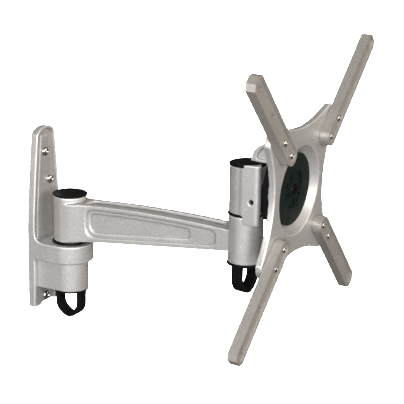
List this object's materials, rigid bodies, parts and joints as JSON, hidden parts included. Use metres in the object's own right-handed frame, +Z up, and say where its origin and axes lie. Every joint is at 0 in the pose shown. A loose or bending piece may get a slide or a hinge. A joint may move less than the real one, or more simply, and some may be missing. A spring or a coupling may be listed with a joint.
{
  "type": "full motion tv wall mount",
  "caption": "Cast wall plate, a swinging arm, a swivel and tilt knuckle, and a turning star plate with screw-on arms that carries a flat screen on a wall.",
  "frame": {"origin": "on the wall plate's flat back, on its centre line, level with the middle of the arm's wall barrel", "axes": "+X to the right along the wall as the screen's back would see it, +Y into the wall, +Z up; the screen side faces -Y"},
  "size_m": [0.221, 0.2608, 0.2581],
  "materials": {
    "silver_paint": "silver metallic paint on die-cast aluminium, satin",
    "black_plastic": "moulded black nylon, semi-matt",
    "green_black_plastic": "moulded dark green-black friction plastic, semi-matt",
    "bright_screw": "bright nickel plate",
    "zinc_steel": "zinc plate",
    "black_steel": "black oxide",
    "natural_nylon": "natural nylon"
  },
  "bodies": {
    "wall": {"wall_plate": "silver_paint", "wall_screw_top": "bright_screw", "wall_screw_middle": "bright_screw", "wall_screw_low": "bright_screw", "wall_pivot_bolt": "zinc_steel", "wall_thrust_washer": "zinc_steel", "wall_pivot_washer": "black_plastic", "wall_nut_washer": "zinc_steel", "wall_spring_washer": "zinc_steel", "wall_pivot_nut": "zinc_steel", "wall_cable_clip": "black_plastic"},
    "arm": {"arm": "silver_paint", "wall_upper_bush": "natural_nylon", "wall_lower_bush": "natural_nylon", "wall_cap": "black_plastic", "head_pivot_bolt": "zinc_steel", "head_thrust_washer": "zinc_steel", "head_pivot_washer": "black_plastic", "head_nut_washer": "zinc_steel", "head_spring_washer": "zinc_steel", "head_pivot_nut": "zinc_steel", "head_cable_clip": "black_plastic"},
    "knuckle": {"knuckle": "silver_paint", "head_upper_bush": "natural_nylon", "head_lower_bush": "natural_nylon", "head_cap": "black_plastic", "tilt_bolt": "black_steel"},
    "tilt": {"tilt_bracket": "silver_paint", "tilt_pad_left": "black_plastic", "tilt_pad_right": "black_plastic", "tilt_washer_left": "natural_nylon", "tilt_washer_right": "natural_nylon", "rear_friction_disc": "black_plastic", "front_friction_disc": "green_black_plastic", "rotation_bolt": "black_steel"},
    "plate": {"star_plate": "silver_paint", "screen_arm_upper_right": "silver_paint", "screen_arm_upper_left": "silver_paint", "screen_arm_lower_left": "silver_paint", "screen_arm_lower_right": "silver_paint", "arm_screw_upper_right_inner": "bright_screw", "arm_screw_upper_right_outer": "bright_screw", "arm_screw_upper_left_inner": "bright_screw", "arm_screw_upper_left_outer": "bright_screw", "arm_screw_lower_left_inner": "bright_screw", "arm_screw_lower_left_outer": "bright_screw", "arm_screw_lower_right_inner": "bright_screw", "arm_screw_lower_right_outer": "bright_screw"}
  },
  "joints": [
    {"name": "arm_swivel", "type": "hinge", "parent": "wall", "child": "arm", "pos_m": [0, -0.031, 0], "axis": [0, 0, 1], "range_deg": [-90, 90]},
    {"name": "head_swivel", "type": "hinge", "parent": "arm", "child": "knuckle", "pos_m": [0, -0.2012, 0], "axis": [0, 0, 1], "range_deg": [-90, 90]},
    {"name": "tilt", "type": "hinge", "parent": "knuckle", "child": "tilt", "pos_m": [0, -0.2124, 0.0484], "axis": [1, 0, 0], "range_deg": [-7.5, 12.5]},
    {"name": "plate_rotation", "type": "hinge", "parent": "tilt", "child": "plate", "pos_m": [0, -0.21299, 0.06189], "axis": [0, -0.999, -0.0436], "range_deg": [-90, 90]}
  ]
}
